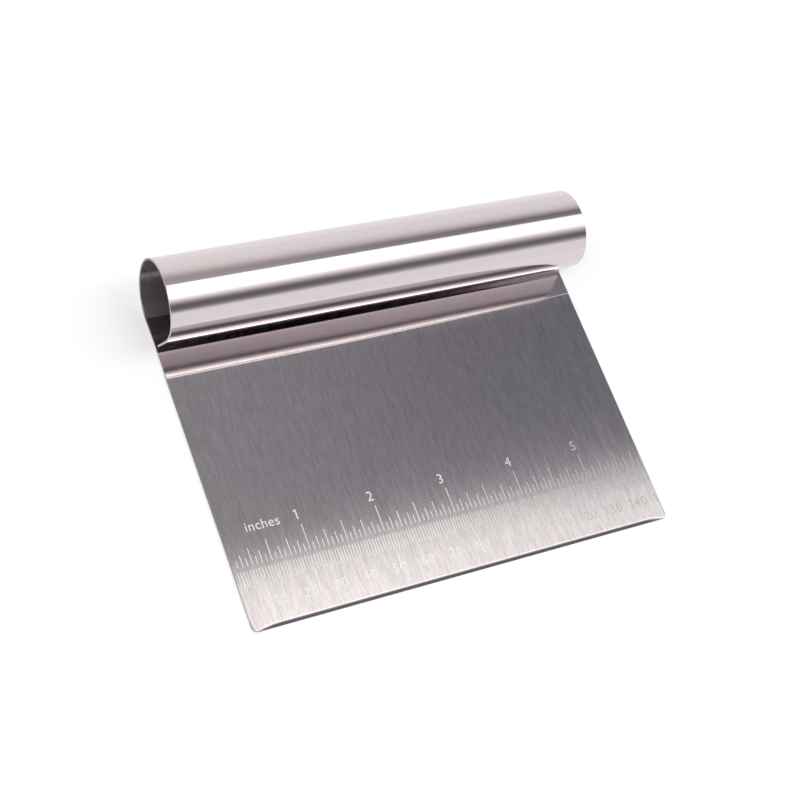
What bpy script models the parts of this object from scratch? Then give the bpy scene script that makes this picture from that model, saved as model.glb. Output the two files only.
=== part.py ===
"""Bench scraper: a flat sheet-steel blade with a handle rolled from sheet.

The scraper lies on its back. +X runs along the blade's width, +Y from the cutting edge to the
handle, and +Z out of the blade's front, the side that the handle curls over. The origin is on
the surface it lies on, under the middle of its outline.
"""

import math

import bmesh
import bpy
from mathutils import Matrix, Vector

# Driving dimensions, in metres
WIDTH = 0.150             # of the blade and the handle, along X
SHEET = 0.0007            # thickness of the steel sheet
BLADE_LENGTH = 0.086      # cutting edge to the line across the sheet where the handle starts
NECK_LENGTH = 0.0187      # flat stretch from that line to where the roll begins
ROLL_RADIUS = 0.0138      # outside of the roll, over its back, top and front
LOWER_RADIUS = 0.0113     # outside of the roll, along its tighter lower front
ROLL_TURN = 230.0         # degrees that the sheet turns at the roll's main radius
TAIL_SLOPE = 15.6         # degrees that the sheet's free end climbs as it runs to the neck
TAIL_GAP = 0.0030         # free end to the neck's front
CORNER_RADIUS = 0.0020    # the blade's two free corners
BEVEL_LENGTH = 0.0013     # ground strip along the cutting edge, up the blade's front
EDGE_THICKNESS = 0.0004   # steel left at the cutting edge below the ground strip
SEAM = 0.0003             # clearance between the blade's top edge and the handle

# Fineness of the curves
ARC_STEP = 5.0            # degrees a facet, around the roll
CORNER_STEPS = 6          # facets around a blade corner
CUT_MARGIN = 0.002        # how far a cutter runs past what it cuts

OVERALL_LENGTH = BLADE_LENGTH + NECK_LENGTH + ROLL_RADIUS
EDGE_Y = -OVERALL_LENGTH / 2


def clear_scene():
    for thing in list(bpy.data.objects):
        bpy.data.objects.remove(thing, do_unlink=True)


def new_collection(name):
    collection = bpy.data.collections.new(name)
    bpy.context.scene.collection.children.link(collection)
    return collection


def steel(name, colour, roughness):
    material = bpy.data.materials.new(name)
    material.use_nodes = True
    shader = material.node_tree.nodes["Principled BSDF"]
    shader.inputs["Base Color"].default_value = (*colour, 1.0)
    shader.inputs["Metallic"].default_value = 1.0
    shader.inputs["Roughness"].default_value = roughness
    return material


def add_object(name, mesh, collection, material=None):
    item = bpy.data.objects.new(name, mesh)
    collection.objects.link(item)
    if material:
        mesh.materials.append(material)
    return item


def blade_outline():
    """Points around the blade in (x, y), with the cutting edge on y = 0."""
    half = WIDTH / 2
    points = [(half, BLADE_LENGTH), (-half, BLADE_LENGTH)]
    for centre_x, first in ((CORNER_RADIUS - half, 180.0), (half - CORNER_RADIUS, 270.0)):
        for step in range(CORNER_STEPS + 1):
            angle = math.radians(first + 90.0 * step / CORNER_STEPS)
            points.append((centre_x + CORNER_RADIUS * math.cos(angle),
                           CORNER_RADIUS + CORNER_RADIUS * math.sin(angle)))
    return points


def outline_to_mesh(name, points, thickness):
    """A flat plate as a filled 2D curve, turned into a closed mesh centred on z = 0."""
    curve = bpy.data.curves.new(name, "CURVE")
    curve.dimensions = "2D"
    curve.fill_mode = "BOTH"
    curve.extrude = thickness / 2
    spline = curve.splines.new("POLY")
    spline.points.add(len(points) - 1)
    for point, (x, y) in zip(spline.points, points):
        point.co = (x, y, 0.0, 1.0)
    spline.use_cyclic_u = True

    guide = bpy.data.objects.new(name + "_curve", curve)
    bpy.context.scene.collection.objects.link(guide)
    evaluated = guide.evaluated_get(bpy.context.evaluated_depsgraph_get())
    mesh = bpy.data.meshes.new_from_object(evaluated)
    bpy.data.objects.remove(guide, do_unlink=True)

    welded = bmesh.new()
    welded.from_mesh(mesh)
    bmesh.ops.remove_doubles(welded, verts=welded.verts, dist=1e-6)
    bmesh.ops.recalc_face_normals(welded, faces=welded.faces)
    welded.to_mesh(mesh)
    welded.free()
    mesh.name = name
    return mesh


def bevel_cutter(collection):
    """A box whose lower side is the slope of the strip ground along the cutting edge."""
    drop = SHEET - EDGE_THICKNESS
    slope = math.atan2(drop, BEVEL_LENGTH)
    length = math.hypot(drop, BEVEL_LENGTH) + 2 * CUT_MARGIN
    box = bmesh.new()
    bmesh.ops.create_cube(box, size=1.0)
    bmesh.ops.scale(box, vec=(WIDTH + 2 * CUT_MARGIN, length, CUT_MARGIN), verts=box.verts)
    bmesh.ops.translate(box, vec=(0.0, 0.0, CUT_MARGIN / 2), verts=box.verts)
    bmesh.ops.rotate(box, cent=Vector(), matrix=Matrix.Rotation(slope, 3, "X"), verts=box.verts)
    mesh = bpy.data.meshes.new("bevel_cutter")
    box.to_mesh(mesh)
    box.free()
    cutter = add_object("bevel_cutter", mesh, collection)
    middle = SHEET - drop / 2
    cutter.location = (0.0, EDGE_Y + BEVEL_LENGTH / 2, middle)
    cutter.hide_render = True
    cutter.display_type = "WIRE"
    return cutter


def make_blade(parts, cutters, material):
    mesh = outline_to_mesh("blade", blade_outline(), SHEET)
    blade = add_object("blade", mesh, parts, material)
    blade.location = (0.0, EDGE_Y, SHEET / 2)
    cut = blade.modifiers.new("ground_edge", "BOOLEAN")
    cut.operation = "DIFFERENCE"
    cut.object = bevel_cutter(cutters)
    return blade


def arc_points(centre, radius, first, last):
    """Points (y, z) along an arc, from the direction in which the sheet runs at each one."""
    steps = max(1, math.ceil((last - first) / ARC_STEP))
    points = []
    for step in range(1, steps + 1):
        heading = math.radians(first + (last - first) * step / steps)
        points.append((centre[0] + radius * math.sin(heading),
                       centre[1] - radius * math.cos(heading)))
    return points


def roll_profile():
    """The handle sheet's outer face in (y, z): up the neck, around the roll and down its tail."""
    start_y = BLADE_LENGTH + SEAM
    roll_y = BLADE_LENGTH + NECK_LENGTH
    main_centre = (roll_y, ROLL_RADIUS)
    turned = math.radians(ROLL_TURN)
    inset = ROLL_RADIUS - LOWER_RADIUS
    lower_centre = (main_centre[0] + inset * math.sin(turned),
                    main_centre[1] - inset * math.cos(turned))
    last_turn = 270.0 + TAIL_SLOPE

    points = [(start_y, 0.0), (roll_y, 0.0)]
    points += arc_points(main_centre, ROLL_RADIUS, 0.0, ROLL_TURN)
    points += arc_points(lower_centre, LOWER_RADIUS, ROLL_TURN, last_turn)

    tail_y, tail_z = points[-1]
    end_z = SHEET + TAIL_GAP
    end_y = tail_y + (tail_z - end_z) * math.tan(math.radians(TAIL_SLOPE))
    points.append((end_y, end_z))
    return points


def make_rolled_handle(parts, material):
    """The profile swept along X by a Screw with no turn, then thickened towards the inside."""
    profile = bmesh.new()
    verts = [profile.verts.new((-WIDTH / 2, y, z)) for y, z in roll_profile()]
    for first, second in zip(verts, verts[1:]):
        profile.edges.new((first, second))
    mesh = bpy.data.meshes.new("rolled_handle")
    profile.to_mesh(mesh)
    profile.free()
    handle = add_object("rolled_handle", mesh, parts, material)
    handle.location = (0.0, EDGE_Y, 0.0)

    sweep = handle.modifiers.new("sweep", "SCREW")
    sweep.axis = "X"
    sweep.angle = 0.0
    sweep.screw_offset = WIDTH
    sweep.steps = 1
    sweep.render_steps = 1
    sweep.merge_threshold = 0.00001
    sweep.use_smooth_shade = True

    wall = handle.modifiers.new("sheet", "SOLIDIFY")
    wall.thickness = SHEET
    wall.offset = -1.0
    wall.use_even_offset = True
    return handle


def main():
    clear_scene()
    parts = new_collection("bench_scraper")
    cutters = new_collection("cutters")
    brushed = steel("brushed_steel", (0.46, 0.44, 0.45), 0.34)
    polished = steel("polished_steel", (0.62, 0.59, 0.59), 0.12)
    make_blade(parts, cutters, brushed)
    make_rolled_handle(parts, polished)


main()
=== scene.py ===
import math

import bmesh
import bpy
from mathutils import Matrix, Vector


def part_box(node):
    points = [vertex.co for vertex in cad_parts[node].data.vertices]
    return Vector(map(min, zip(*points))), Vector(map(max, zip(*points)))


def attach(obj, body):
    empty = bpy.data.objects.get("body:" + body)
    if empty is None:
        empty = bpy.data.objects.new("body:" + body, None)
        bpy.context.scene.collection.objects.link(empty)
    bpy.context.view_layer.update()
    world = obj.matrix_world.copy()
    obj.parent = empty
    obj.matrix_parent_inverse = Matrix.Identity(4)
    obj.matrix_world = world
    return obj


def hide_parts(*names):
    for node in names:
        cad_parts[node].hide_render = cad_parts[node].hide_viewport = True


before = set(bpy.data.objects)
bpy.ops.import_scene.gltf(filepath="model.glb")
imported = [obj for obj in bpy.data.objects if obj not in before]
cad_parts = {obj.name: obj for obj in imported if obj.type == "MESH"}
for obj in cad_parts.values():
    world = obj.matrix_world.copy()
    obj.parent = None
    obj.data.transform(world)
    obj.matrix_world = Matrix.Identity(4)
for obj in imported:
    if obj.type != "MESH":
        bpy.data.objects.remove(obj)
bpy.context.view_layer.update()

scene = bpy.context.scene
millimetre = 0.001
inch = 0.0254
samePlace = 0.0000001       # metres apart that still count as touching

bladeLow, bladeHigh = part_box("blade")
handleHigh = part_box("rolled_handle")[1]

edgeY = bladeLow.y          # the cutting edge
lineY = bladeHigh.y         # line across the sheet where the blade ends and the neck starts
sheet = bladeHigh.z         # thickness of the steel
halfWidth = bladeHigh.x
rollRadius = handleHigh.z / 2
rollY = handleHigh.y - rollRadius


def newMaterial(name):
    material = bpy.data.materials.new(name)
    material.use_nodes = True
    tree = material.node_tree
    tree.nodes.clear()
    output = tree.nodes.new("ShaderNodeOutputMaterial")
    output.location = (900, 0)
    shader = tree.nodes.new("ShaderNodeBsdfPrincipled")
    shader.location = (600, 0)
    tree.links.new(shader.outputs[0], output.inputs["Surface"])
    return material, tree, shader


def stretchedNoise(tree, scales, detail, roughness, place, uvName=None):
    # noise in the piece's own metres, drawn out along the axis with the smallest scale,
    # or in the metres of a UV map, which follow the sheet round its bends
    mapping = tree.nodes.new("ShaderNodeMapping")
    mapping.location = (place[0] - 200, place[1])
    mapping.inputs["Scale"].default_value = scales
    noise = tree.nodes.new("ShaderNodeTexNoise")
    noise.location = place
    noise.inputs["Scale"].default_value = 1.0
    noise.inputs["Detail"].default_value = detail
    noise.inputs["Roughness"].default_value = roughness
    if uvName:
        noise.noise_dimensions = "2D"
        coords = tree.nodes.new("ShaderNodeUVMap")
        coords.uv_map = uvName
        tree.links.new(coords.outputs["UV"], mapping.inputs["Vector"])
    else:
        coords = tree.nodes.new("ShaderNodeTexCoord")
        tree.links.new(coords.outputs["Object"], mapping.inputs["Vector"])
    coords.location = (place[0] - 400, place[1])
    tree.links.new(mapping.outputs["Vector"], noise.inputs["Vector"])
    return noise


def rampBetween(tree, source, stops, place=(-300, 0)):
    ramp = tree.nodes.new("ShaderNodeValToRGB")
    ramp.location = place
    elements = ramp.color_ramp.elements
    while len(elements) > 1:
        elements.remove(elements[-1])
    elements[0].position = stops[0][0]
    elements[0].color = (*stops[0][1], 1.0)
    for position, colour in stops[1:]:
        element = elements.new(position)
        element.color = (*colour, 1.0)
    tree.links.new(source, ramp.inputs["Fac"])
    return ramp


def twoTone(tree, source, dark, light):
    # runs from dark to light over the middle of a noise
    return rampBetween(tree, source, [(0.30, dark), (0.70, light)], (-300, 300))


def mapValue(tree, source, low, high):
    # spreads the middle half of a noise between two values
    mapped = tree.nodes.new("ShaderNodeMapRange")
    mapped.location = (-300, -200)
    mapped.inputs["From Min"].default_value = 0.25
    mapped.inputs["From Max"].default_value = 0.75
    mapped.inputs["To Min"].default_value = low
    mapped.inputs["To Max"].default_value = high
    tree.links.new(source, mapped.inputs["Value"])
    return mapped


def addBump(tree, shader, sources, depth):
    # sources: (height output, share) pairs, summed into one height
    total = None
    for output, share in sources:
        scaled = tree.nodes.new("ShaderNodeMath")
        scaled.operation = "MULTIPLY"
        scaled.inputs[1].default_value = share
        tree.links.new(output, scaled.inputs[0])
        if total is None:
            total = scaled
        else:
            added = tree.nodes.new("ShaderNodeMath")
            added.operation = "ADD"
            tree.links.new(total.outputs[0], added.inputs[0])
            tree.links.new(scaled.outputs[0], added.inputs[1])
            total = added
    bump = tree.nodes.new("ShaderNodeBump")
    bump.location = (300, -400)
    bump.inputs["Strength"].default_value = 1.0
    bump.inputs["Distance"].default_value = depth
    tree.links.new(total.outputs[0], bump.inputs["Height"])
    tree.links.new(bump.outputs["Normal"], shader.inputs["Normal"])


def grainAcross(tree, shader, uvName, amount):
    # reflections smear across the grain, along the sheet's U direction
    tangent = tree.nodes.new("ShaderNodeTangent")
    tangent.direction_type = "UV_MAP"
    tangent.uv_map = uvName
    tangent.location = (300, -700)
    tree.links.new(tangent.outputs["Tangent"], shader.inputs["Tangent"])
    shader.inputs["Anisotropic"].default_value = amount


finish = {
    # the blade's brushed face; noise scales are cells to a metre along x, y and z
    "brushedLight": (0.575, 0.532, 0.560),
    "brushedDark": (0.420, 0.387, 0.411),
    "brushedRough": (0.140, 0.175),
    "brushedGrain": 0.90,                  # how strongly reflections smear across the grain
    "brushedDepth": 0.0000046,
    "brushedFine": (2000, 190, 2000),
    "brushedBroad": (750, 48, 750),
    "brushedCloud": (28, 28, 28),
    "brushedShares": (1.0, 1.4, 0.5),      # of the fine, broad and cloudy noise in the height
    # the bright sheet of the neck and the roll's outside
    "brightLight": (0.700, 0.628, 0.640),
    "brightDark": (0.682, 0.611, 0.623),
    "brightRough": (0.100, 0.120),
    "brightMetal": 1.0,
    "brightGrain": 0.60,
    "brightDepth": 0.0000004,
    # the sheet inside the roll: rougher and less metallic, with its colour darkened as painted shade
    # for the roll's hollow
    "innerLight": (0.370, 0.318, 0.325),
    "innerDark": (0.315, 0.270, 0.278),
    "innerRough": (0.240, 0.300),
    "innerMetal": 0.72,
    "innerGrain": 0.50,
    "innerDepth": 0.0000020,
    # mill lines of both, to a metre across and along the sheet
    "millLines": (2200, 40, 1),
    "millBroad": (180, 14, 1),
    "millShares": (1.0, 3.0),
    # cut edges
    "rimColour": (0.62, 0.58, 0.58),       # sheared ends of the rolled sheet
    "rimShadedShare": 0.35,                     # painted shade: share of that colour left towards the roll's back
    "rimShadeRange": (-0.006, 0.004),            # where the painted shade sets in, from the roll's middle
    "sideColour": (0.32, 0.30, 0.30),      # sides of the blade
    "cutDark": 0.82,                       # share of the colour in the darker bars
    "cutBars": (3000, 3000, 300),
    "cutRough": (0.26, 0.40),
    "cutDepth": 0.000006,
    # etching
    "etchLight": (0.90, 0.87, 0.85),
    "etchDark": (0.80, 0.77, 0.75),
    "etchShadeRange": (-0.010, 0.062),           # painted shade: the etching's colour darkens between these x, where less light falls on the blade
    "etchShadedShare": 0.55,                      # down to this share of its brightness
    "etchFrost": (5200, 5200, 5200),
    "etchStreaks": (1500, 70, 1500),
    "etchRough": (0.42, 0.54),
    "etchDepth": 0.000004,
}


def fadeAlong(tree, shader, colour, axis, ends, left):
    # painted shade: the colour keeps its full brightness up to the first end, and a share of it from
    # the second
    coords = tree.nodes.new("ShaderNodeTexCoord")
    coords.location = (-1100, 500)
    split = tree.nodes.new("ShaderNodeSeparateXYZ")
    split.location = (-900, 500)
    fade = tree.nodes.new("ShaderNodeMapRange")
    fade.location = (-600, 500)
    fade.inputs["From Min"].default_value = ends[0]
    fade.inputs["From Max"].default_value = ends[1]
    fade.inputs["To Min"].default_value = 1.0
    fade.inputs["To Max"].default_value = left
    faded = tree.nodes.new("ShaderNodeVectorMath")
    faded.operation = "SCALE"
    faded.location = (0, 300)
    tree.links.new(coords.outputs["Object"], split.inputs[0])
    tree.links.new(split.outputs[axis], fade.inputs["Value"])
    tree.links.new(colour.outputs["Color"], faded.inputs[0])
    tree.links.new(fade.outputs["Result"], faded.inputs["Scale"])
    tree.links.new(faded.outputs[0], shader.inputs["Base Color"])


def brushedSteel(name):
    material, tree, shader = newMaterial(name)
    fine = stretchedNoise(tree, finish["brushedFine"], 4.0, 0.6, (-900, 300))
    broad = stretchedNoise(tree, finish["brushedBroad"], 2.0, 0.5, (-900, 0))
    cloud = stretchedNoise(tree, finish["brushedCloud"], 2.0, 0.5, (-900, -300))
    colour = twoTone(tree, fine.outputs["Fac"], finish["brushedDark"], finish["brushedLight"])
    tree.links.new(colour.outputs["Color"], shader.inputs["Base Color"])
    shader.inputs["Metallic"].default_value = 1.0
    rough = mapValue(tree, broad.outputs["Fac"], *finish["brushedRough"])
    tree.links.new(rough.outputs["Result"], shader.inputs["Roughness"])
    grainAcross(tree, shader, "sheet", finish["brushedGrain"])
    heights = [noise.outputs["Fac"] for noise in (fine, broad, cloud)]
    addBump(tree, shader, zip(heights, finish["brushedShares"]), finish["brushedDepth"])
    return material


def rolledSteel(name, kind):
    # the sheet as it came from the mill: bright outside, and inner inside the roll, rougher and with
    # its colour darkened as painted shade
    material, tree, shader = newMaterial(name)
    lines = stretchedNoise(tree, finish["millLines"], 3.0, 0.55, (-900, 300), "sheet")
    broad = stretchedNoise(tree, finish["millBroad"], 2.0, 0.5, (-900, 0), "sheet")
    colour = twoTone(tree, lines.outputs["Fac"], finish[kind + "Dark"], finish[kind + "Light"])
    tree.links.new(colour.outputs["Color"], shader.inputs["Base Color"])
    shader.inputs["Metallic"].default_value = finish[kind + "Metal"]
    rough = mapValue(tree, broad.outputs["Fac"], *finish[kind + "Rough"])
    tree.links.new(rough.outputs["Result"], shader.inputs["Roughness"])
    grainAcross(tree, shader, "sheet", finish[kind + "Grain"])
    heights = [noise.outputs["Fac"] for noise in (lines, broad)]
    addBump(tree, shader, zip(heights, finish["millShares"]), finish[kind + "Depth"])
    return material


def cutSteel(name, shade, shadedShare=1.0):
    # sheared edge of the sheet, with the shear's fine upright bars, and painted shade that darkens it
    # towards the roll's back
    material, tree, shader = newMaterial(name)
    bars = stretchedNoise(tree, finish["cutBars"], 3.0, 0.6, (-900, 200))
    dark = tuple(finish["cutDark"] * c for c in shade)
    colour = twoTone(tree, bars.outputs["Fac"], dark, shade)
    # painted shade: the rim's colour darkens towards the roll's back
    ends = [rollY + step for step in finish["rimShadeRange"]]
    fadeAlong(tree, shader, colour, "Y", ends, shadedShare)
    shader.inputs["Metallic"].default_value = 1.0
    rough = mapValue(tree, bars.outputs["Fac"], *finish["cutRough"])
    tree.links.new(rough.outputs["Result"], shader.inputs["Roughness"])
    addBump(tree, shader, [(bars.outputs["Fac"], 1.0)], finish["cutDepth"])
    return material


def etchedSteel(name):
    # frosted bare metal: the etched marks, and the line where the brushing stops, with painted shade
    # that darkens them towards the right
    material, tree, shader = newMaterial(name)
    frost = stretchedNoise(tree, finish["etchFrost"], 3.0, 0.6, (-900, 200))
    streaks = stretchedNoise(tree, finish["etchStreaks"], 3.0, 0.6, (-900, -100))
    colour = twoTone(tree, streaks.outputs["Fac"], finish["etchDark"], finish["etchLight"])
    # painted shade: darker towards the blade's right side
    fadeAlong(tree, shader, colour, "X", finish["etchShadeRange"], finish["etchShadedShare"])
    shader.inputs["Metallic"].default_value = 1.0
    rough = mapValue(tree, frost.outputs["Fac"], *finish["etchRough"])
    tree.links.new(rough.outputs["Result"], shader.inputs["Roughness"])
    addBump(tree, shader, [(frost.outputs["Fac"], 1.0)], finish["etchDepth"])
    return material


brushed = brushedSteel("brushedSteel")
bright = rolledSteel("brightSteel", "bright")
# painted shade: the inner sheet's darker colour stands in for the shade inside the roll
inner = rolledSteel("innerShadedSteel", "inner")
rim = cutSteel("rimSteel", finish["rimColour"], finish["rimShadedShare"])
side = cutSteel("sideSteel", finish["sideColour"])
etched = etchedSteel("etchedSteel")
print("finishes ready")


collection = bpy.data.collections.new("bench_scraper_looks")
scene.collection.children.link(collection)


def addPiece(name, mesh, materials):
    piece = bpy.data.objects.new(name, mesh)
    for material in materials:
        mesh.materials.append(material)
    collection.objects.link(piece)
    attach(piece, "root")
    return piece


def softenEdges(piece, width):
    # rounds the marked edges, and keeps the large faces looking flat beside them
    bevel = piece.modifiers.new("edges", "BEVEL")
    bevel.limit_method = "WEIGHT"
    bevel.width = width
    bevel.segments = 2
    bevel.profile = 0.5
    bevel.use_clamp_overlap = True
    bevel.loop_slide = False
    smooth = piece.modifiers.new("faces", "WEIGHTED_NORMAL")
    smooth.keep_sharp = True
    smooth.weight = 80


def markSoftEdges(mesh, bevelWeight, rimKind):
    # marks the sheet's rim for rounding, except where the two pieces meet
    for edge in mesh.edges:
        kinds = [face.material_index == rimKind for face in edge.link_faces]
        if len(kinds) == 2 and kinds[0] != kinds[1]:
            if any(abs(vert.co.y - joinY) < samePlace for vert in edge.verts):
                edge.smooth = False
            else:
                edge[bevelWeight] = 1.0


def smoothStep(value):
    value = min(max(value, 0.0), 1.0)
    return value * value * (3.0 - 2.0 * value)


def spread(first, last, count):
    # both ends and the even steps between them
    return [first + (last - first) * step / count for step in range(count + 1)]


blade = {
    "edgeRun": 0.00160,        # strip ground along the cutting edge
    "edgeSlope": 27.0,         # degrees that it falls away
    "edgeBlend": 0.00080,      # rounding where it leaves the flat face
    "edgeFade": 0.0070,        # the strip narrows over this much towards each corner
    "edgeLeft": 0.35,          # share of it that is left in the corners
    "cornerRadius": 0.0020,
    "brushedDrop": 0.0015,     # the brushing stops this far below the line, at the left
    "brushedTilt": 0.0019,     # and this much higher at the right
    "brushedBend": 3,          # the climb is this power of the way across
    "neckKept": 0.0020,        # bright strip above the line that belongs to this piece
    "fadeWidth": 0.00036,      # frosted line where the belt lifted off, above the brushed face
    "bowDrop": 0.0026,         # the neck's bow starts this far below the end of the brushing
    "neckBow": 1.9,            # degrees that the face rises where the bow starts
    "neckBowRight": 1.0,       # and this much more towards the right,
    "bowRightFrom": 0.060,     # setting in this far from the left side
    "bowRightOver": 0.055,     # and complete after this much more
    "edgeSoft": 0.00006,
    # rows of points from the cutting edge: lists, or first, last and number of steps
    "edgeRows": (0.00007, 0.0017, 22),
    "cornerRows": [0.0018, 0.0020],
    "faceRows": (0.004, 0.080, 38),
    "endSteps": 4,             # over the start of the bow
    "bendFrom": 0.060,         # from here the rows bend as the end of the brushing does
    "bendOver": 0.020,
    "joinRows": [-0.0012, -0.0002, 0.0],     # last rows, from where the two pieces meet
    "joinBend": 0.2,           # share of the bend that the first of them keeps
    # columns of points: insets from each side, and shares of the half width between them
    "sideColumns": [0.0, 0.0003, 0.0008, 0.0015, 0.0025, 0.0040, 0.0060, 0.0085, 0.012, 0.017, 0.024],
    "middleColumns": (-0.6, 0.6, 16),
}
brushedFace, brightFace, sideFace, etchedFace = range(4)     # materials on the blade

joinY = lineY + blade["neckKept"]


def lineShift(x):
    # the brushing stopped a little unevenly, so its end bends up towards the right
    return blade["brushedTilt"] * ((x + halfWidth) / (2 * halfWidth)) ** blade["brushedBend"]


def neckRise(x, y):
    # the sheet bows forward very slightly between the brushed face and the roll
    start = lineY - blade["brushedDrop"] - blade["bowDrop"] + lineShift(x)
    length = rollY - start
    share = (y - start) / length
    if share <= 0.0 or share >= 1.0:
        return 0.0
    right = smoothStep((x + halfWidth - blade["bowRightFrom"]) / blade["bowRightOver"])
    bow = math.radians(blade["neckBow"] + blade["neckBowRight"] * right)
    return math.tan(bow) * length * share * (1.0 - share)


def bladeFront(x, y):
    # height of the blade's front face, above the surface it lies on
    inward = (halfWidth - abs(x)) / blade["edgeFade"]
    share = blade["edgeLeft"] + (1.0 - blade["edgeLeft"]) * smoothStep(inward)
    depth = blade["edgeRun"] * share - (y - edgeY)
    if depth <= 0.0:
        return sheet
    slope = math.tan(math.radians(blade["edgeSlope"]))
    blend = blade["edgeBlend"]
    if depth < blend:
        return sheet - slope * depth ** 2 / (2 * blend)
    return sheet - slope * (depth - blend / 2)


def bladeRows():
    # distances from the cutting edge over the brushed steel, close together where it bends
    brushedEnd = lineY - edgeY - blade["brushedDrop"]
    rows = [0.0]
    rows += spread(*blade["edgeRows"])
    rows += blade["cornerRows"]
    rows += spread(*blade["faceRows"])
    rows += spread(brushedEnd - blade["bowDrop"], brushedEnd, blade["endSteps"])
    return rows


def bladeColumns():
    # shares of the half width, closer together near the sides
    right = [1.0 - step / halfWidth for step in blade["sideColumns"]]
    middle = spread(*blade["middleColumns"])
    return [-share for share in right] + middle + right[::-1]


def makeBladeSheet():
    rows = bladeRows()
    columns = bladeColumns()
    mesh = bmesh.new()
    uv = mesh.loops.layers.uv.new("sheet")
    bevelWeight = mesh.edges.layers.float.new("bevel_weight_edge")
    radius = blade["cornerRadius"]

    def rowPoint(row, share):
        corner = 0.0
        if row < radius:
            corner = radius - math.sqrt(max(radius ** 2 - (radius - row) ** 2, 0.0))
        x = share * (halfWidth - corner)
        follow = smoothStep((row - blade["bendFrom"]) / blade["bendOver"])
        return x, edgeY + row + lineShift(x) * follow

    def joinPoint(row, share):
        # the last rows straighten out towards the join
        x = share * halfWidth
        left = row / blade["joinRows"][0]
        return x, joinY + row + blade["joinBend"] * lineShift(x) * left

    points = [[rowPoint(row, share) for share in columns]
              for row in rows + [rows[-1] + blade["fadeWidth"]]]
    points += [[joinPoint(row, share) for share in columns] for row in blade["joinRows"]]
    front = []
    back = []
    for line in points:
        frontRow = []
        backRow = []
        for x, y in line:
            rise = neckRise(x, y)
            frontRow.append(mesh.verts.new((x, y, bladeFront(x, y) + rise)))
            backRow.append(mesh.verts.new((x, y, rise)))
        front.append(frontRow)
        back.append(backRow)

    def addFace(corners, kind):
        face = mesh.faces.new(corners)
        face.material_index = kind
        face.smooth = True

    fadeRow = len(rows) - 1     # the frosted line lies between this row and the next
    last = len(front) - 1
    final = len(columns) - 1
    for i in range(last):
        backKind = brushedFace if i < fadeRow else brightFace
        frontKind = etchedFace if i == fadeRow else backKind
        for j in range(final):
            addFace([front[i][j], front[i][j + 1], front[i + 1][j + 1], front[i + 1][j]], frontKind)
            addFace([back[i + 1][j], back[i + 1][j + 1], back[i][j + 1], back[i][j]], backKind)
    for i in range(last):
        addFace([front[i][0], front[i + 1][0], back[i + 1][0], back[i][0]], sideFace)
        addFace([front[i + 1][final], front[i][final], back[i][final], back[i + 1][final]], sideFace)
    for j in range(final):
        addFace([front[0][j + 1], front[0][j], back[0][j], back[0][j + 1]], sideFace)
        addFace([front[last][j], front[last][j + 1], back[last][j + 1], back[last][j]], sideFace)

    for face in mesh.faces:
        for loop in face.loops:
            loop[uv].uv = (loop.vert.co.x, loop.vert.co.y)
    markSoftEdges(mesh, bevelWeight, sideFace)
    data = bpy.data.meshes.new("bladeSheet")
    mesh.to_mesh(data)
    mesh.free()
    piece = addPiece("bladeSheet", data, [brushed, bright, side, etched])
    softenEdges(piece, blade["edgeSoft"])
    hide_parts("blade")


makeBladeSheet()
print("blade made")


roll = {
    "mainTurn": 246.6,         # degrees that the sheet turns at the roll's own radius
    "bends": [                 # then it turns on to each of these angles, at each radius
        (271.3, 0.00932),
        (286.2, 0.01689),
        (288.3, 0.04340)],
    "lipHeight": 0.00299,      # and runs straight to this height, its free end
    "arcStep": 1.5,            # degrees a facet
    "neckFirst": 0.0002,       # first row of points above the join
    "neckSteps": 14,           # rows from there to the roll
    "tailSteps": 4,            # rows down the straight end
    "innerFrom": 0.1,          # radians turned where the duller inside starts
    "edgeSoft": 0.00010,
}
outerFace, rimFace, innerFace = range(3)     # materials on the handle


def rollPath():
    # outer face as (point, heading) in (y, z): up the neck, round the roll, down to the lip
    neck = [joinY] + spread(joinY + roll["neckFirst"], rollY, roll["neckSteps"])
    path = [((y, 0.0), 0.0) for y in neck]
    centre = (rollY, rollRadius)
    radius = rollRadius
    reached = 0.0
    for turn, bendRadius in [(roll["mainTurn"], rollRadius)] + roll["bends"]:
        # the next arc starts tangent to the last one
        inset = radius - bendRadius
        heading = math.radians(reached)
        centre = (centre[0] + inset * math.sin(heading), centre[1] - inset * math.cos(heading))
        radius = bendRadius
        steps = math.ceil((turn - reached) / roll["arcStep"])
        for step in range(1, steps + 1):
            heading = math.radians(reached + (turn - reached) * step / steps)
            path.append(((centre[0] + radius * math.sin(heading),
                          centre[1] - radius * math.cos(heading)), heading))
        reached = turn
    (tailY, tailZ), heading = path[-1]
    length = (tailZ - roll["lipHeight"]) / -math.sin(heading)
    for share in spread(0.0, 1.0, roll["tailSteps"])[1:]:
        path.append(((tailY + math.cos(heading) * length * share,
                      tailZ + math.sin(heading) * length * share), heading))
    return path


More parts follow.
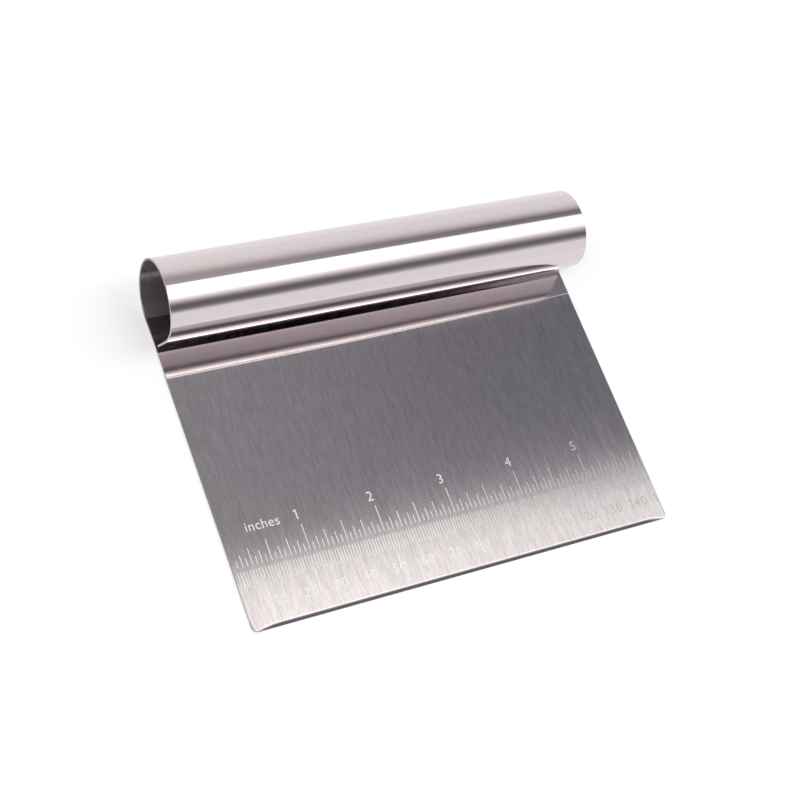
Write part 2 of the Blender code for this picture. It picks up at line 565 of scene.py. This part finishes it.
def makeRolledHandle():
    path = rollPath()
    columns = [share * halfWidth for share in bladeColumns()]
    mesh = bmesh.new()
    uv = mesh.loops.layers.uv.new("sheet")
    bevelWeight = mesh.edges.layers.float.new("bevel_weight_edge")
    outer = []
    inside = []
    along = [0.0]
    for (first, _), (second, _) in zip(path, path[1:]):
        along.append(along[-1] + math.dist(first, second))
    along = [joinY + run for run in along]     # carries on from the blade's own grain
    for (y, z), heading in path:
        # the inner face lies one thickness to the left of the heading
        innerY = y - sheet * math.sin(heading)
        innerZ = z + sheet * math.cos(heading)
        rises = [neckRise(x, y) if heading == 0.0 else 0.0 for x in columns]
        outer.append([mesh.verts.new((x, y, z + rise)) for x, rise in zip(columns, rises)])
        inside.append([mesh.verts.new((x, innerY, innerZ + rise))
                       for x, rise in zip(columns, rises)])

    def addFace(corners, runs, kind):
        face = mesh.faces.new(corners)
        face.material_index = kind
        face.smooth = True
        for loop, run in zip(face.loops, runs):
            loop[uv].uv = (loop.vert.co.x, run)

    final = len(columns) - 1
    for i in range(len(path) - 1):
        low, high = along[i], along[i + 1]
        insideKind = innerFace if path[i][1] > roll["innerFrom"] else outerFace
        for j in range(final):
            addFace([outer[i][j], outer[i + 1][j], outer[i + 1][j + 1], outer[i][j + 1]],
                    (low, high, high, low), outerFace)
            addFace([inside[i][j], inside[i][j + 1], inside[i + 1][j + 1], inside[i + 1][j]],
                    (low, low, high, high), insideKind)
        addFace([outer[i][0], inside[i][0], inside[i + 1][0], outer[i + 1][0]],
                (low, low, high, high), rimFace)
        addFace([outer[i][final], outer[i + 1][final], inside[i + 1][final], inside[i][final]],
                (low, high, high, low), rimFace)
    for i, run in ((0, along[0]), (len(path) - 1, along[-1])):
        for j in range(final):
            corners = [outer[i][j], outer[i][j + 1], inside[i][j + 1], inside[i][j]]
            if i:
                corners.reverse()
            addFace(corners, (run,) * 4, rimFace)
    bmesh.ops.recalc_face_normals(mesh, faces=mesh.faces)
    markSoftEdges(mesh, bevelWeight, rimFace)
    data = bpy.data.meshes.new("rolledHandle")
    mesh.to_mesh(data)
    mesh.free()
    piece = addPiece("rolledHandle", data, [bright, rim, inner])
    softenEdges(piece, roll["edgeSoft"])
    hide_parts("rolled_handle")


makeRolledHandle()
print("rolled handle made")


marks = {
    "thickness": 0.000012,     # of the frosted layer
    "proud": 0.000008,         # how far it stands out of the brushed face
    "sideMargin": 0.00015,     # kept clear at the blade's sides
    "weldWithin": 0.00000001,
    "inchStart": 0.0004,       # zero of the inch ticks, from the left side
    "inchBase": 0.0200,        # height of their lower ends above the cutting edge
    "inchHeights": {16: 0.0025, 8: 0.0039, 4: 0.0054, 2: 0.0068, 1: 0.0088},
    "inchTickWidth": 0.00025,
    "inchNumbers": 5,
    "inchNumberShift": -0.0006,        # figures' middle, from their tick
    "inchNumberY": 0.0305,
    "inchNumberSize": 0.0046,
    "inchWord": ("inches", 0.0138, 0.0304, 0.0044),      # x from the left side, y and size
    "millimetreStart": 0.0002,
    "millimetreTop": 0.0186,
    "millimetreLengths": {1: 0.0050, 5: 0.0060, 10: 0.0068},
    "millimetreTickWidth": 0.00025,
    "millimetreNumbers": 15,
    "millimetreNumberShift": 0.0014,
    "millimetreNumberY": 0.0061,
    "millimetreNumberSize": 0.0044,
    "millimetreWord": ("mm", 0.0133, 0.0016, 0.0038),
    "letterSpacing": 1.05,
    "figureStep": 0.58,        # figure to figure, as a share of the size, as are those below
    "oneStroke": 0.095,        # the 1: width of its stem
    "oneTall": 0.700,
    "oneShift": 0.04,          # stem, right of the middle
    "flagReach": 0.17,         # its flag, from the low outer end up to the stem
    "flagLow": 0.56,
    "flagHigh": 0.67,
    "flagStroke": 0.8,         # flag's width as a share of the stem's
}


def addBar(mesh, ends, width):
    # one straight bar between two points on the blade's face: a tick, or a stroke of a figure
    (x1, y1), (x2, y2) = ends
    run = math.dist(*ends)
    sideX = -(y2 - y1) / run * width / 2
    sideY = (x2 - x1) / run * width / 2
    top = sheet + marks["proud"]
    bottom = top - marks["thickness"]
    corners = []
    for z in (bottom, top):
        for x, y, way in ((x1, y1, -1), (x2, y2, -1), (x2, y2, 1), (x1, y1, 1)):
            corners.append(mesh.verts.new((x + way * sideX, edgeY + y + way * sideY, z)))
    a, b, c, d, e, f, g, h = corners
    for quad in ((d, c, b, a), (e, f, g, h), (a, b, f, e), (b, c, g, f), (c, d, h, g), (d, a, e, h)):
        mesh.faces.new(quad)


def addTick(mesh, x, low, high, width):
    addBar(mesh, ((x, low), (x, high)), width)


def addNumber(mesh, text, x, y, size):
    # figures side by side; the 1 is drawn here, with a flag that the built-in face lacks
    step = marks["figureStep"] * size
    start = x - step * (len(text) - 1) / 2
    for place, figure in enumerate(text):
        middle = start + step * place
        if figure == "1":
            addOne(mesh, middle, y, size)
        else:
            addWriting(mesh, figure, middle, y, size)


def addOne(mesh, middle, y, size):
    width = marks["oneStroke"] * size
    stem = middle + marks["oneShift"] * size
    flagEnd = (stem - marks["flagReach"] * size, y + marks["flagLow"] * size)
    flagRoot = (stem - width / 2, y + marks["flagHigh"] * size)
    addBar(mesh, ((stem, y), (stem, y + marks["oneTall"] * size)), width)
    addBar(mesh, (flagEnd, flagRoot), width * marks["flagStroke"])


def addWriting(mesh, text, x, y, size):
    # generic figures and unit words, set in the program's built-in plain face
    curve = bpy.data.curves.new("writing", "FONT")
    curve.body = text
    curve.size = size
    curve.align_x = "CENTER"
    curve.align_y = "BOTTOM_BASELINE"
    curve.extrude = marks["thickness"] / 2
    curve.resolution_u = 4
    curve.space_character = marks["letterSpacing"]
    holder = bpy.data.objects.new("writing", curve)
    scene.collection.objects.link(holder)
    bpy.context.view_layer.update()
    evaluated = holder.evaluated_get(bpy.context.evaluated_depsgraph_get())
    data = bpy.data.meshes.new_from_object(evaluated)
    top = sheet + marks["proud"]
    data.transform(Matrix.Translation((x, edgeY + y, top - marks["thickness"] / 2)))
    mesh.from_mesh(data)
    bpy.data.objects.remove(holder, do_unlink=True)
    bpy.data.meshes.remove(data)
    bpy.data.curves.remove(curve)


def finishMarks(name, mesh):
    # nothing runs past the side of the blade
    limit = halfWidth - marks["sideMargin"]
    for way in (-1, 1):
        geometry = mesh.verts[:] + mesh.edges[:] + mesh.faces[:]
        cut = bmesh.ops.bisect_plane(mesh, geom=geometry, plane_co=(way * limit, 0, 0),
                                     plane_no=(way, 0, 0), clear_outer=True)
        openEdges = [item for item in cut["geom_cut"] if isinstance(item, bmesh.types.BMEdge)]
        if openEdges:
            bmesh.ops.holes_fill(mesh, edges=openEdges, sides=0)
    bmesh.ops.remove_doubles(mesh, verts=mesh.verts, dist=marks["weldWithin"])
    bmesh.ops.recalc_face_normals(mesh, faces=mesh.faces)
    data = bpy.data.meshes.new(name)
    mesh.to_mesh(data)
    mesh.free()
    addPiece(name, data, [etched])


def makeInchTicks():
    mesh = bmesh.new()
    base = marks["inchBase"]
    count = int((2 * halfWidth - marks["inchStart"]) / (inch / 16))
    for tick in range(1, count + 1):
        # the coarsest part of an inch that this tick is a whole number of
        part = next(part for part in (1, 2, 4, 8, 16) if tick % (16 // part) == 0)
        x = -halfWidth + marks["inchStart"] + tick * inch / 16
        addTick(mesh, x, base, base + marks["inchHeights"][part], marks["inchTickWidth"])
    finishMarks("inchTicks", mesh)


def makeMillimetreTicks():
    mesh = bmesh.new()
    top = marks["millimetreTop"]
    count = int((2 * halfWidth - marks["millimetreStart"]) / millimetre)
    for tick in range(1, count + 1):
        step = next(step for step in (10, 5, 1) if tick % step == 0)
        x = -halfWidth + marks["millimetreStart"] + tick * millimetre
        addTick(mesh, x, top - marks["millimetreLengths"][step], top, marks["millimetreTickWidth"])
    finishMarks("millimetreTicks", mesh)


def makeInchNumbers():
    mesh = bmesh.new()
    for number in range(1, marks["inchNumbers"] + 1):
        x = -halfWidth + marks["inchStart"] + number * inch + marks["inchNumberShift"]
        addNumber(mesh, str(number), x, marks["inchNumberY"], marks["inchNumberSize"])
    finishMarks("inchNumbers", mesh)


def makeMillimetreNumbers():
    mesh = bmesh.new()
    for ten in range(1, marks["millimetreNumbers"] + 1):
        number = 10 * ten
        x = -halfWidth + marks["millimetreStart"] + number * millimetre + marks["millimetreNumberShift"]
        addNumber(mesh, str(number), x, marks["millimetreNumberY"], marks["millimetreNumberSize"])
    finishMarks("millimetreNumbers", mesh)


def makeUnitWords():
    mesh = bmesh.new()
    for text, x, y, size in (marks["inchWord"], marks["millimetreWord"]):
        addWriting(mesh, text, -halfWidth + x, y, size)
    finishMarks("unitWords", mesh)


makeInchTicks()
makeMillimetreTicks()
makeInchNumbers()
makeMillimetreNumbers()
makeUnitWords()
print("scale etched")


studio = {
    "floorSize": 1.6,              # half its side
    "floorSteps": 8,
    "floorDrop": 0.00003,          # below the steel that rests on it
    "floorColour": (0.64, 0.643, 0.665),
    "floorDark": 0.98,             # share of the colour in its darker patches
    "floorCloud": (6, 6, 6),
    "floorGlow": 0.68,             # light of its own, which keeps it pale
    "floorRough": 0.8,
    "strength": 2.0,               # of the surround, whose colours below are divided by it
    # colour of the surround by the angle from straight up, positive towards the handle's back:
    # first for directions to the left and up to leftBearing, then for those past rightBearing
    "surroundLeft": [
        (-180.0, (1.00, 1.00, 1.00)),
        (-74.0, (1.00, 0.99, 0.99)),
        (-66.0, (1.00, 0.99, 0.99)),
        (-62.5, (0.93, 0.92, 0.92)),
        (-59.0, (0.47, 0.46, 0.48)),
        (-53.0, (0.17, 0.17, 0.19)),
        (-44.5, (0.15, 0.15, 0.17)),
        (-39.0, (0.30, 0.29, 0.29)),
        (-33.0, (0.76, 0.73, 0.71)),
        (-27.0, (1.26, 1.26, 1.18)),
        (-20.0, (1.95, 1.95, 1.92)),
        (-6.0, (1.95, 1.95, 1.95)),
        (4.0, (0.50, 0.50, 0.50)),
        (14.0, (0.50, 0.505, 0.50)),
        (20.0, (0.48, 0.48, 0.485)),
        (25.0, (0.46, 0.45, 0.455)),
        (31.0, (0.50, 0.465, 0.475)),
        (39.0, (0.69, 0.65, 0.65)),
        (47.0, (0.86, 0.84, 0.81)),
        (56.0, (0.95, 0.93, 0.92)),
        (68.0, (1.00, 1.00, 1.00)),
        (180.0, (1.00, 1.00, 1.00)),
    ],
    "surroundRight": [
        (-180.0, (1.00, 1.00, 1.00)),
        (-74.0, (1.00, 0.99, 0.99)),
        (-66.0, (1.00, 0.99, 0.99)),
        (-62.5, (0.97, 0.96, 0.96)),
        (-59.0, (0.66, 0.65, 0.66)),
        (-52.0, (0.26, 0.26, 0.28)),
        (-44.0, (0.14, 0.15, 0.17)),
        (-39.0, (0.25, 0.25, 0.27)),
        (-33.0, (0.54, 0.52, 0.53)),
        (-27.0, (0.92, 0.90, 0.90)),
        (-20.0, (1.60, 1.58, 1.55)),
        (-6.0, (1.60, 1.60, 1.60)),
        (4.0, (0.40, 0.40, 0.42)),
        (14.0, (0.29, 0.29, 0.33)),
        (20.0, (0.225, 0.225, 0.26)),
        (25.0, (0.21, 0.21, 0.235)),
        (31.0, (0.42, 0.41, 0.42)),
        (39.0, (0.72, 0.70, 0.71)),
        (47.0, (0.88, 0.87, 0.87)),
        (56.0, (0.95, 0.94, 0.93)),
        (68.0, (0.99, 0.99, 0.98)),
        (180.0, (0.94, 0.94, 0.94)),
    ],
    "leftBearing": 0.30,           # sideways part of the direction where the first list ends
    "rightBearing": 0.52,          # and where the second one has taken over
    "panelY": (-0.20, 0.283),      # the soft light above, from its near side to its far side
    "panelHeight": 1.206,
    "panelPower": 5.2,             # watts a square metre
    "panelColour": (1.0, 1.0, 0.90),
    # its bands from left to right: where each starts and ends in x, and its share of the power
    "panelBands": [(0.20, 0.43, 1.00), (0.43, 0.56, 0.93), (0.56, 0.69, 0.85), (0.69, 1.65, 0.77)],
    "cameraPlace": (-0.22769, -0.15996, 0.44106),
    "cameraTurn": (26.664, -18.832, -21.608),
    "cameraLens": 72.15,
    "cameraSensor": 36.0,
    "cameraClip": (0.01, 20.0),
}


def makeFloor():
    mesh = bmesh.new()
    bmesh.ops.create_grid(mesh, x_segments=studio["floorSteps"], y_segments=studio["floorSteps"],
                          size=studio["floorSize"])
    bmesh.ops.translate(mesh, vec=(0.0, 0.0, -studio["floorDrop"]), verts=mesh.verts)
    data = bpy.data.meshes.new("paleFloor")
    mesh.to_mesh(data)
    mesh.free()
    material, tree, shader = newMaterial("paleFloor")
    cloud = stretchedNoise(tree, studio["floorCloud"], 2.0, 0.5, (-900, 200))
    dark = tuple(studio["floorDark"] * c for c in studio["floorColour"])
    colour = twoTone(tree, cloud.outputs["Fac"], dark, studio["floorColour"])
    tree.links.new(colour.outputs["Color"], shader.inputs["Base Color"])
    tree.links.new(colour.outputs["Color"], shader.inputs["Emission Color"])
    shader.inputs["Emission Strength"].default_value = studio["floorGlow"]
    shader.inputs["Roughness"].default_value = studio["floorRough"]
    shader.inputs["Specular IOR Level"].default_value = 0.0
    floor = bpy.data.objects.new("paleFloor", data)
    data.materials.append(material)
    scene.collection.objects.link(floor)


def makeSurround():
    world = bpy.data.worlds.new("studio")
    scene.world = world
    world.use_nodes = True
    tree = world.node_tree
    tree.nodes.clear()
    coords = tree.nodes.new("ShaderNodeTexCoord")
    split = tree.nodes.new("ShaderNodeSeparateXYZ")
    angle = tree.nodes.new("ShaderNodeMath")
    angle.operation = "ARCTAN2"
    turn = tree.nodes.new("ShaderNodeMapRange")
    turn.inputs["From Min"].default_value = -math.pi
    turn.inputs["From Max"].default_value = math.pi
    light = tree.nodes.new("ShaderNodeBackground")
    output = tree.nodes.new("ShaderNodeOutputWorld")
    tree.links.new(coords.outputs["Generated"], split.inputs[0])
    tree.links.new(split.outputs["Y"], angle.inputs[0])
    tree.links.new(split.outputs["Z"], angle.inputs[1])
    tree.links.new(angle.outputs[0], turn.inputs["Value"])
    ramps = []
    for half in ("surroundLeft", "surroundRight"):
        stops = [((degrees + 180.0) / 360.0, tuple(c / studio["strength"] for c in colour))
                 for degrees, colour in studio[half]]
        ramps.append(rampBetween(tree, turn.outputs["Result"], stops))
    bearing = tree.nodes.new("ShaderNodeMapRange")
    bearing.interpolation_type = "SMOOTHSTEP"
    bearing.inputs["From Min"].default_value = studio["leftBearing"]
    bearing.inputs["From Max"].default_value = studio["rightBearing"]
    tree.links.new(split.outputs["X"], bearing.inputs["Value"])
    mix = tree.nodes.new("ShaderNodeMix")
    mix.data_type = "RGBA"                  # its colours go in at 6 and 7, and come out at 2
    tree.links.new(bearing.outputs["Result"], mix.inputs[0])
    tree.links.new(ramps[0].outputs["Color"], mix.inputs[6])
    tree.links.new(ramps[1].outputs["Color"], mix.inputs[7])
    tree.links.new(mix.outputs[2], light.inputs["Color"])
    light.inputs["Strength"].default_value = studio["strength"]
    tree.links.new(light.outputs[0], output.inputs["Surface"])


def makePanel():
    # one large soft light above and to the right, in bands side by side that grow dimmer
    lowY, highY = studio["panelY"]
    for number, (lowX, highX, share) in enumerate(studio["panelBands"], start=1):
        name = f"softPanel{number}"
        data = bpy.data.lights.new(name, "AREA")
        data.shape = "RECTANGLE"
        data.size = highX - lowX
        data.size_y = highY - lowY
        data.color = studio["panelColour"]
        data.energy = studio["panelPower"] * share * data.size * data.size_y
        panel = bpy.data.objects.new(name, data)
        panel.location = ((lowX + highX) / 2, (lowY + highY) / 2, studio["panelHeight"])
        scene.collection.objects.link(panel)


def makeCamera():
    data = bpy.data.cameras.new("camera")
    data.sensor_width = studio["cameraSensor"]
    data.lens = studio["cameraLens"]
    data.clip_start, data.clip_end = studio["cameraClip"]
    camera = bpy.data.objects.new("camera", data)
    camera.location = studio["cameraPlace"]
    camera.rotation_euler = [math.radians(turn) for turn in studio["cameraTurn"]]
    scene.collection.objects.link(camera)
    scene.camera = camera


makeFloor()
makeSurround()
makePanel()
makeCamera()
scene.view_settings.view_transform = "Standard"
print("studio ready")
